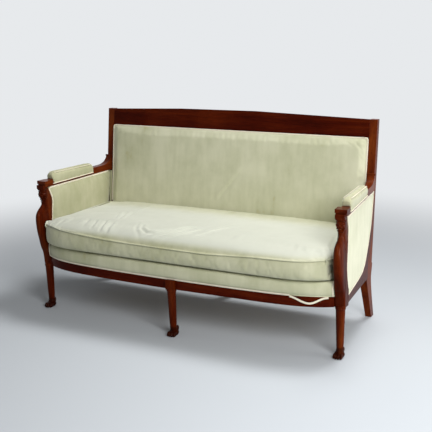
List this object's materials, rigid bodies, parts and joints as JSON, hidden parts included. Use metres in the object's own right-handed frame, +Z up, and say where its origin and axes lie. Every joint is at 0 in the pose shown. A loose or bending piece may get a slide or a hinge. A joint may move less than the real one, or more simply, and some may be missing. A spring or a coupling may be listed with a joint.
{
  "type": "upholstered settee",
  "caption": "Long settee with a padded back, closed padded arms, a bowed front rail, a loose seat cushion, carved front posts with paw feet and sabre rear legs.",
  "frame": {"origin": "on the floor, below the middle of the settee's overall box", "axes": "+X along the seat to the sitter's left, which is the viewer's right; -Y to the front; +Z up"},
  "size_m": [1.6222, 0.7044, 0.9869],
  "materials": {
    "polished_mahogany": "dark red mahogany, polished to a gloss",
    "carved_mahogany": "carved mahogany, waxed, a little lighter on the raised parts",
    "beech": "plain sawn beech, unpolished",
    "cover_cloth": "short-pile cloth, pale sage, soft sheen",
    "webbing": "woven jute webbing, matt",
    "hessian": "coarse hessian, matt",
    "gimp": "cream woven gimp braid"
  },
  "bodies": {
    "frame": {"front_post_left": "carved_mahogany", "rear_stile_left": "polished_mahogany", "front_rail_left": "polished_mahogany", "side_rail_left": "polished_mahogany", "arm_rail_left": "polished_mahogany", "front_corner_block_left": "beech", "rear_corner_block_left": "beech", "arm_inner_pad_left": "cover_cloth", "arm_outer_panel_left": "cover_cloth", "arm_pad_left": "cover_cloth", "front_post_right": "carved_mahogany", "rear_stile_right": "polished_mahogany", "front_rail_right": "polished_mahogany", "side_rail_right": "polished_mahogany", "arm_rail_right": "polished_mahogany", "front_corner_block_right": "beech", "rear_corner_block_right": "beech", "arm_inner_pad_right": "cover_cloth", "arm_outer_panel_right": "cover_cloth", "arm_pad_right": "cover_cloth", "middle_leg_front": "carved_mahogany", "middle_leg_rear": "polished_mahogany", "rear_seat_rail": "beech", "cross_rail": "beech", "crest_rail": "polished_mahogany", "lower_back_rail": "beech", "back_pad": "cover_cloth", "back_outer_panel": "cover_cloth", "back_web_1": "webbing", "back_web_2": "webbing", "back_web_3": "webbing", "back_web_4": "webbing", "back_web_5": "webbing", "seat_web_cross_1": "webbing", "seat_web_cross_2": "webbing", "seat_web_cross_3": "webbing", "seat_web_cross_4": "webbing", "seat_web_cross_5": "webbing", "seat_web_cross_6": "webbing", "seat_web_cross_7": "webbing", "seat_web_long_1": "webbing", "seat_web_long_2": "webbing", "seat_web_long_3": "webbing", "seat_hessian": "hessian", "seat_deck": "cover_cloth", "loose_gimp": "gimp"},
    "cushion": {"seat_cushion": "cover_cloth"}
  },
  "joints": [
    {"name": "cushion_lift", "type": "slide", "parent": "frame", "child": "cushion", "axis": [0, 0, 1], "range_m": [0, 0.35]}
  ]
}
